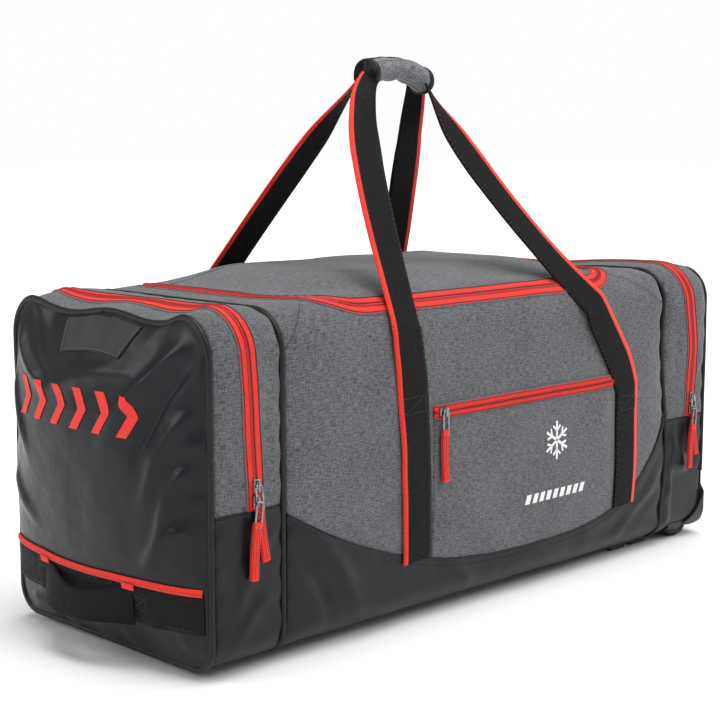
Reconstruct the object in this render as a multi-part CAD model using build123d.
from build123d import *
import os

# Wheeled hockey equipment bag. Millimetres, +Z up, origin on the floor under the middle of the
# bag. +X points to the wheel end, -Y to the front face with the flat pocket.

# ---- driving dimensions ----
SEAM_LENGTH = 916.0        # end-panel piping to end-panel piping
DEPTH = 356.0              # front face to back face
HEIGHT = 378.0             # fabric base to flat top
GROUND_GAP = 12.0          # floor to the fabric base
POCKET_LENGTH = 101.0      # each end pocket, divider piping to end piping
END_BULGE = 45.0           # how far a packed end panel bulges past its piping
FABRIC = 3.0               # fabric and lining together
TOP_RADIUS = 45.0
BOTTOM_RADIUS = 30.0
TARP_HEIGHT = 110.0        # top of the coated lower wrap
GUSSET_SEAM = 178.0        # grey over black seam of the end pockets
FLAP_FOLD = 196.0          # height of the end flaps' fold line
PIPING_WIDTH = 8.0
PIPING_PROUD = 3.0
ZIP_HALF = 12.0            # one zip tape with half of the teeth
ZIP_PROUD = 1.5
LID_ZIP_PROUD = 2.5
POCKET_ZIP_X = 408.0       # teeth line of each end pocket's zip
LID_LEFT = -309.0
LID_RIGHT = 258.0
LID_FRONT = -160.0
LID_FOLD = 92.0            # fabric hinge line of the lid
LID_CORNER = 50.0
GAP = 0.3                  # clearance between faces on different moving bodies
FOLD_GAP = 0.5

STRAP_WIDTH = 48.0
STRAP_THICKNESS = 3.0
STRAP_FOOT = 78.0          # lower end of the sewn straps
FREE_GAP = 4.6             # bare stretch between a sewn strap and the loop that swings on it
GRIP_HALF_LENGTH = 66.0
GRIP_RADIUS = 24.0
GRIP_HEIGHT = 652.0

WHEEL_RADIUS = 30.0
WHEEL_WIDTH = 24.0
WHEEL_X = 425.0
WHEEL_Y = 152.0
AXLE_RADIUS = 4.0
AXLE_FIT = 0.06
VENT_TOP, VENT_FOOT = 66.0, 54.0   # half widths of the mesh window
VENT_Z0, VENT_Z1 = 336.0, 372.0
HOUSING_X0 = 386.0
HOUSING_Y0 = 128.0
HOUSING_TOP = 93.0
WELL = (388.0, 462.0, 132.0, 172.0, 70.0)   # wheel well: x0, x1, y0, y1, top
RAIL_Y = 135.0
RAIL_WIDTH = 22.0
RAIL_X0, RAIL_X1 = -90.0, 376.0
RAIL_DEEP, RAIL_SHALLOW = 9.0, 3.0     # a rail's depth at the wheel end and at its tapered end
RAIL_FEET = (288.0, 336.0)
RAIL_FOOT_LENGTH = 32.0
FOOT_RADIUS = 16.0
FOOT_X, FOOT_Y = -385.0, 105.0

POCKET_X0, POCKET_X1 = -125.0, 216.0
POCKET_ZIP_Z = 253.0
POCKET_THICK = 7.0
ZIP_TAPE = 20.0

# one entry per loop: y side, then (x, z) where the left and the right strap leave the bag,
# and x where each of them leaves the top edge
LOOPS = {
    "front": (-1, (-150.0, 287.0), (257.0, 240.0), -152.0, 201.0),
    "rear": (1, (-172.0, 287.0), (215.0, 262.0), -160.0, 180.0),
}
EDGE_Z = 366.0             # height at which a loop leaves the face
GRIP_X, GRIP_Y = 46.0, 10.0   # where a strap goes into its grip half

GRAB_HINGE_X = 492.0
GRAB_HINGE_Z = 89.5
GRAB_Z = 64.0
GRAB_WIDTH = 25.0
WIRE_Y = -4.8              # a pull's wire, in front of the face its slider runs on
WIRE_RADIUS = 1.0

# ---- places worked out from them ----
FRONT = DEPTH / 2
BASE = GROUND_GAP
TOP = BASE + HEIGHT
MIDDLE = BASE + HEIGHT / 2
END_SEAM = SEAM_LENGTH / 2
DIVIDER = END_SEAM - POCKET_LENGTH
END_X = END_SEAM + END_BULGE
PIPE_IN = END_SEAM - PIPING_WIDTH / 2
PIPE_OUT = END_SEAM + PIPING_WIDTH / 2
MAIN_END = DIVIDER - PIPING_WIDTH / 2
POCKET_START = DIVIDER + PIPING_WIDTH / 2
FLAT_TOP_Y = FRONT - TOP_RADIUS
STRAP_Y = FRONT + 2.0      # middle of a strap that lies on a face
FAR = 900.0
nodes = {}


# ---- shared geometry ----
def region(x0, x1, y0, y1, z0, z1):
    """A box between two corners."""
    box = Box(x1 - x0, y1 - y0, z1 - z0, align=(Align.MIN, Align.MIN, Align.MIN))
    return Pos(x0, y0, z0) * box


def above(z):
    return region(-FAR, FAR, -FAR, FAR, z, FAR)


def below(z):
    return region(-FAR, FAR, -FAR, FAR, -FAR, z)


def section(grow):
    """The bag's rounded cross-section, grown outwards, as a sketch on the YZ plane."""
    sketch = Pos(0, MIDDLE) * Rectangle(DEPTH + 2 * grow, HEIGHT + 2 * grow)
    sketch = fillet(sketch.vertices().sort_by(Axis.Y)[-2:], TOP_RADIUS + grow)
    return fillet(sketch.vertices().sort_by(Axis.Y)[:2], BOTTOM_RADIUS + grow)


def prism(x0, x1, grow):
    return extrude(Plane.YZ.offset(x0) * section(grow), amount=x1 - x0)


def sleeve(x0, x1, outer, inner):
    """A length of the bag's tube between two growths of its cross-section."""
    return prism(x0, x1, outer) - prism(x0 - 1, x1 + 1, inner)


def end_dome(x0, grow):
    """The bulging end from x0 outwards: a pillow of two crossed cylinders."""
    sag = END_X - PIPE_OUT
    up_radius = ((HEIGHT / 2) ** 2 + sag ** 2) / (2 * sag)
    side_radius = (FRONT ** 2 + sag ** 2) / (2 * sag)
    up_roll = Pos(END_X - up_radius, 0, MIDDLE) * Rot(90, 0, 0) * Cylinder(up_radius + grow, FAR)
    side_roll = Pos(END_X - side_radius, 0, MIDDLE) * Cylinder(side_radius + grow, FAR)
    return prism(x0, END_X + 20, grow) & up_roll & side_roll


def lid_outline(grow, back):
    """Vertical prism over the lid's outline, rounded at its two front corners."""
    width = LID_RIGHT - LID_LEFT + 2 * grow
    length = back - LID_FRONT + grow
    centre_y = (back + LID_FRONT - grow) / 2
    sketch = Pos((LID_LEFT + LID_RIGHT) / 2, centre_y) * Rectangle(width, length)
    sketch = fillet(sketch.vertices().sort_by(Axis.Y)[:2], LID_CORNER + grow)
    return Pos(0, 0, TOP - 60) * extrude(sketch, amount=100)


def slab(start, end, width, thickness, facing):
    """A flat strap between two points, its flat side turned towards facing."""
    start, end = Vector(*start), Vector(*end)
    along = end - start
    across = along.cross(Vector(*facing))
    plane = Plane(origin=(start + end) * 0.5, x_dir=across, z_dir=along)
    return plane * Box(width, thickness, along.length)


def both_ends(piece):
    """A right-hand piece and its mirror image at the left end."""
    return {"right": piece, "left": mirror(piece, about=Plane.YZ)}


# ---- main compartment ----
def build_main():
    tube = sleeve(-MAIN_END, MAIN_END, 0, -FABRIC)
    lid_cut = lid_outline(0, LID_FOLD)
    nodes["lower_wrap"] = tube & below(TARP_HEIGHT)
    upper = tube & above(TARP_HEIGHT)
    nodes["front_panel"] = (upper & region(-FAR, FAR, -FAR, -FLAT_TOP_Y, 0, FAR)) - lid_cut
    nodes["back_panel"] = upper & region(-FAR, FAR, LID_FOLD, FAR, 0, FAR)
    top_band = upper & region(-FAR, FAR, -FLAT_TOP_Y, LID_FOLD, MIDDLE, FAR)
    nodes["top_left_panel"] = (top_band & region(-FAR, LID_LEFT + 90, -FAR, FAR, 0, FAR)) - lid_cut
    nodes["top_right_panel"] = (top_band & region(LID_RIGHT - 90, FAR, -FAR, FAR, 0, FAR)) - lid_cut

    skin = sleeve(-MAIN_END + 1, MAIN_END - 1, LID_ZIP_PROUD, 0) & above(TOP - 40)
    in_front_of_fold = region(-FAR, FAR, -FAR, LID_FOLD - FOLD_GAP, 0, FAR)
    behind_fold = region(-FAR, FAR, LID_FOLD, FLAT_TOP_Y, 0, FAR)
    inside = lid_outline(-GAP, FLAT_TOP_Y)
    inner_band = skin & (inside - lid_outline(-ZIP_HALF, FLAT_TOP_Y + 5))
    outer_band = skin & (lid_outline(ZIP_HALF - 3, FLAT_TOP_Y) - lid_outline(0, FLAT_TOP_Y + 5))
    nodes["lid_panel"] = tube & inside & in_front_of_fold
    nodes["lid_zip_inner"] = inner_band & in_front_of_fold
    nodes["lid_zip_outer"] = outer_band + (inner_band & behind_fold)

    inner = -FABRIC
    for side, x in (("left", -DIVIDER), ("right", DIVIDER)):
        nodes[side + "_divider"] = prism(x - FABRIC / 2, x + FABRIC / 2, inner)
    pipes = [sleeve(s * DIVIDER - PIPING_WIDTH / 2, s * DIVIDER + PIPING_WIDTH / 2,
                    PIPING_PROUD - 0.5, inner) for s in (-1, 1)]
    nodes["divider_pipings"] = Compound(children=pipes)
    floor_z = BASE + FABRIC
    nodes["base_board"] = region(-DIVIDER + 7, DIVIDER - 7, -140, 140, floor_z, floor_z + 4)


# ---- end pockets ----
def well_box(y_sign, grow):
    x0, x1, y0, y1, top = WELL
    low, high = sorted((y_sign * (y0 - grow), y_sign * (y1 + grow)))
    return region(x0 - grow, x1 + grow, low, high, -20, top + grow)


def housing_zone(y_sign, grow):
    low, high = sorted((y_sign * (HOUSING_Y0 - grow), y_sign * FAR))
    return region(HOUSING_X0 - grow, FAR, low, high, -20, HOUSING_TOP + grow)


def build_end_pockets():
    ring = sleeve(POCKET_START, PIPE_IN, 0, -FABRIC)
    zip_end = POCKET_ZIP_X + ZIP_HALF
    zip_start = POCKET_ZIP_X - ZIP_HALF
    flap_low = FLAP_FOLD + FOLD_GAP
    flap_side = region(zip_start, FAR, -FAR, FAR, FLAP_FOLD, FAR)
    dome = end_dome(PIPE_OUT, 0) - end_dome(PIPE_OUT - 1, -FABRIC)
    piping = sleeve(PIPE_IN, PIPE_OUT, PIPING_PROUD, -FABRIC)
    corners = [(-VENT_TOP, VENT_Z1), (VENT_TOP, VENT_Z1), (VENT_FOOT, VENT_Z0), (-VENT_FOOT, VENT_Z0)]
    vent_outline = Plane.YZ * make_face(Polyline(*corners, close=True))
    vent = (end_dome(PIPE_OUT, 1.2) - end_dome(PIPE_OUT - 1, 0)) & extrude(vent_outline, amount=FAR)
    flap = {
        "zip_outer": sleeve(POCKET_ZIP_X + GAP, zip_end, ZIP_PROUD, -FABRIC),
        "flap_gusset": ring & region(zip_end, FAR, -FAR, FAR, 0, FAR),
        "piping_upper": piping,
        "end_panel_upper": dome,
        "vent_window": vent,
    }
    fixed = {
        "pocket_gusset": (ring & above(GUSSET_SEAM)) - flap_side,
        "zip_inner": sleeve(zip_start, POCKET_ZIP_X, ZIP_PROUD, -FABRIC) & above(FLAP_FOLD),
        "pocket_base": ring & below(GUSSET_SEAM),
        "end_panel_lower": dome & below(FLAP_FOLD),
    }
    lower_piping = piping & below(FLAP_FOLD)
    band = (end_dome(PIPE_OUT, 2) - end_dome(PIPE_OUT - 1, 0)) & region(0, FAR, -124, 124, 54, 99)

    for name, piece in flap.items():
        for side, part in both_ends(piece & above(flap_low)).items():
            nodes[side + "_" + name] = part
    for name, piece in fixed.items():
        for side, part in both_ends(piece).items():
            nodes[side + "_" + name] = part
    cuts = well_box(1, GAP) + well_box(-1, GAP)
    for name in ("right_pocket_base", "right_end_panel_lower"):
        nodes[name] = nodes[name] - cuts
    guard_zones = housing_zone(1, GAP) + housing_zone(-1, GAP)
    nodes["end_pipings_lower"] = Compound(children=[lower_piping - guard_zones,
                                                    mirror(lower_piping, about=Plane.YZ)])
    nodes["end_handle_bands"] = Compound(children=list(both_ends(band).values()))


# ---- wheel end ----
def build_wheels():
    sides = (("front", -1), ("back", 1))
    axles = []
    screws = []
    for side, s in sides:
        tube = prism(HOUSING_X0 - 20, PIPE_OUT, 0) + end_dome(PIPE_OUT - 1, 0)
        grown = prism(HOUSING_X0 - 20, PIPE_OUT, 3.5) + end_dome(PIPE_OUT - 1, 3.5)
        scoop = Pos(370, 0, 110) * Rot(90, 0, 0) * Cylinder(105, FAR)
        guard = ((grown - tube) & housing_zone(s, 0)) - scoop
        well = well_box(s, 0) & grown
        x0, x1, y0, y1, top = WELL
        low, high = sorted((s * (y0 + 3), s * (y1 - 3)))
        hollow = region(x0 + 3, x1 - 3, low, high, -30, top - 3)
        bore = Pos(WHEEL_X, s * WHEEL_Y, WHEEL_RADIUS) * Rot(90, 0, 0)
        housing = (guard + well) - hollow - bore * Cylinder(AXLE_RADIUS + AXLE_FIT, 60)
        nodes["wheel_housing_" + side] = housing

        centre = Pos(WHEEL_X, s * WHEEL_Y, WHEEL_RADIUS) * Rot(90, 0, 0)
        tyre = Cylinder(WHEEL_RADIUS, WHEEL_WIDTH)
        tyre = fillet(tyre.edges().filter_by(GeomType.CIRCLE), 8) - Cylinder(20, 60)
        hub = Cylinder(20, WHEEL_WIDTH - 2) - Cylinder(AXLE_RADIUS + AXLE_FIT, 60)
        for face in (-1, 1):
            recess = Cylinder(17, 6) - Cylinder(8.5, 6)
            hub -= Pos(0, 0, face * (WHEEL_WIDTH / 2 - 3)) * recess
        nodes[side + "_tyre"] = centre * tyre
        nodes[side + "_wheel_hub"] = centre * hub

        length = WELL[3] - WELL[2]
        head = Pos(0, 0, s * (length / 2 + 1)) * Cylinder(6.5, 2)
        axles.append(centre * (Cylinder(AXLE_RADIUS, length) + head))
        for x in (HOUSING_X0 + 22, WHEEL_X + 8):
            screws.append(Pos(x, s * (HOUSING_Y0 + 2.0), BASE - 3.5 - 0.7) * Cylinder(1.8, 1.4))
    nodes["wheel_axles"] = Compound(children=axles)
    nodes["housing_rivets"] = Compound(children=screws)


# ---- base: skid rails and feet ----
def build_base():
    half = RAIL_WIDTH / 2
    rails = []
    for s in (-1, 1):
        profile = Polyline((RAIL_X0, BASE), (RAIL_X0, BASE - RAIL_SHALLOW),
                           (RAIL_X1, BASE - RAIL_DEEP), (RAIL_X1, BASE), close=True)
        rail = extrude(Plane.XZ * make_face(profile), amount=half, both=True)
        for x in RAIL_FEET:
            rail += region(x, x + RAIL_FOOT_LENGTH, -half, half, 0, BASE)
        rail -= region(MAIN_END - 0.5, POCKET_START + 0.5, -half - 1, half + 1,
                       BASE - PIPING_PROUD, FAR)
        rails.append(Pos(0, s * RAIL_Y, 0) * rail)
    nodes["skid_rails"] = Compound(children=rails)
    foot = Cylinder(FOOT_RADIUS, GROUND_GAP, align=(Align.CENTER, Align.CENTER, Align.MIN))
    foot = fillet(foot.edges().sort_by(Axis.Z)[0], 3)
    nodes["base_feet"] = Compound(children=[Pos(FOOT_X, y, 0) * foot for y in (-FOOT_Y, FOOT_Y)])


# ---- front pocket ----
def build_front_pocket():
    face = -FRONT
    zip_low = POCKET_ZIP_Z - ZIP_TAPE / 2
    nodes["front_pocket"] = region(POCKET_X0, POCKET_X1, face - POCKET_THICK, face, 82, zip_low)
    zip_face = face - POCKET_THICK - 0.5
    nodes["front_pocket_zip"] = region(POCKET_X0, POCKET_X1, zip_face, face,
                                       zip_low, zip_low + ZIP_TAPE)


# ---- carrying straps ----
def flat_strap(low_x, low_z, high_x, high_z, y):
    """A strap lying in the plane y; low_z and high_z give its end edges' height at any x."""
    half = STRAP_WIDTH / 2
    corners = [(low_x - half, low_z(low_x - half)), (low_x + half, low_z(low_x + half)),
               (high_x + half, high_z(high_x + half)), (high_x - half, high_z(high_x - half))]
    outline = make_face(Polyline(*corners, close=True))
    return Pos(0, y, 0) * extrude(Plane.XZ * outline, amount=STRAP_THICKNESS / 2, both=True)


def build_straps():
    for name, (s, left, right, left_edge, right_edge) in LOOPS.items():
        slope = (right[1] - left[1]) / (right[0] - left[0])
        sewn = []
        webbing = None
        for (x, z), edge in ((left, left_edge), (right, right_edge)):
            side = 1 if x > 0 else -1
            bend = (edge, s * STRAP_Y, EDGE_Z)
            grip = (side * GRIP_X, s * GRIP_Y, GRIP_HEIGHT - 12)
            sewn.append(flat_strap(x, lambda at: STRAP_FOOT, x,
                                   lambda at: left[1] + slope * (at - left[0]) - FREE_GAP / 2,
                                   s * (FRONT + STRAP_THICKNESS / 2)))
            lower = flat_strap(x, lambda at: left[1] + slope * (at - left[0]) + FREE_GAP / 2,
                               edge, lambda at: EDGE_Z, s * STRAP_Y)
            upper = slab(bend, grip, STRAP_WIDTH, STRAP_THICKNESS, (0, s * 0.85, 0.52))
            knee = Pos(*bend) * Rot(0, 90, 0) * Cylinder(STRAP_THICKNESS / 2, STRAP_WIDTH - 6)
            webbing = lower + upper + knee if webbing is None else webbing + lower + upper + knee
        bar = Pos(0, s * GRIP_Y, GRIP_HEIGHT - 2) * Box(2 * GRIP_X + 20, 6, 26)
        webbing += bar
        nodes[name + "_handle_webbing"] = webbing
        nodes["sewn_straps_" + name] = Compound(children=sewn)
        wrap = Pos(0, 0, GRIP_HEIGHT) * Rot(0, 90, 0) * Cylinder(GRIP_RADIUS, 2 * GRIP_HALF_LENGTH)
        low, high = sorted((s * 0.4, s * FAR))
        nodes[name + "_grip_half"] = (wrap & region(-FAR, FAR, low, high, 0, FAR)) - webbing


# ---- grab handles low on the two end panels ----
def build_grab_handles():
    ends = [(GRAB_HINGE_X + 2.5, y, GRAB_Z + 12) for y in (-76, 76)]
    outs = [(GRAB_HINGE_X + 20, y, GRAB_Z - 6) for y in (-50, 50)]
    loop = slab(outs[0], outs[1], GRAB_WIDTH, 3.5, (1, 0, 0))
    for end, out, y_side in ((ends[0], outs[0], -1), (ends[1], outs[1], 1)):
        loop += slab(end, out, GRAB_WIDTH, 3.5, (1, y_side * 0.7, 0))
        loop += Pos(*out) * Cylinder(1.75, GRAB_WIDTH - 1)
    for side, part in both_ends(loop).items():
        nodes[side + "_grab_handle"] = part


# ---- zip sliders and their pulls ----
# Both are drawn for a face that looks along -Y at y = 0, the pull hanging along -Z from a wire
# that runs along X, and are then placed on the face they belong to.
def slider_body(chain_vertical):
    width, height = (9, 16) if chain_vertical else (16, 9)
    body = region(-width / 2, width / 2, -3.4, 0, -height / 2, height / 2)
    arch = region(-1.5, 1.5, -7.6, -3.4, -6, 6) - region(-2, 2, WIRE_Y - 1.35, -3.4, -3.4, 3.4)
    return body + arch


def pull_body():
    wire = Pos(0, WIRE_Y, 0) * Rot(0, 90, 0) * Cylinder(WIRE_RADIUS, 11)
    for x in (-5.5, 5.5):
        wire += region(x - 1, x + 1, WIRE_Y - 1, WIRE_Y + 1, -26, 1)
    tab = region(-7, 7, WIRE_Y - 1.8, WIRE_Y + 1.6, -86, -23)
    return wire + tab


def build_sliders():
    on_side = Pos(0, -FRONT - ZIP_PROUD - GAP, FLAP_FOLD + 12)
    on_pocket = Pos(POCKET_X0 + 14, -FRONT - POCKET_THICK - 0.5 - GAP, POCKET_ZIP_Z)
    flat_on_top = Plane(origin=(LID_RIGHT, 0, TOP + LID_ZIP_PROUD + GAP),
                        x_dir=(0, 1, 0), z_dir=(-1, 0, 0))
    places = {
        "left_pocket": (Pos(-POCKET_ZIP_X, 0, 0) * on_side, True),
        "right_pocket": (Pos(POCKET_ZIP_X, 0, 0) * on_side, True),
        "front_pocket": (on_pocket, False),
        "lid": (flat_on_top.location * Pos(LID_FOLD + 20, 0, 0), False),
    }
    for name, (place, vertical) in places.items():
        nodes[name + "_slider"] = place * slider_body(vertical)
        nodes[name + "_pull"] = place * pull_body()


build_main()
build_end_pockets()
build_wheels()
build_base()
build_front_pocket()
build_straps()
build_grab_handles()
build_sliders()

os.makedirs("parts", exist_ok=True)
for name, piece in nodes.items():
    export_step(piece, f"parts/{name}.step")
print(len(nodes), "nodes")
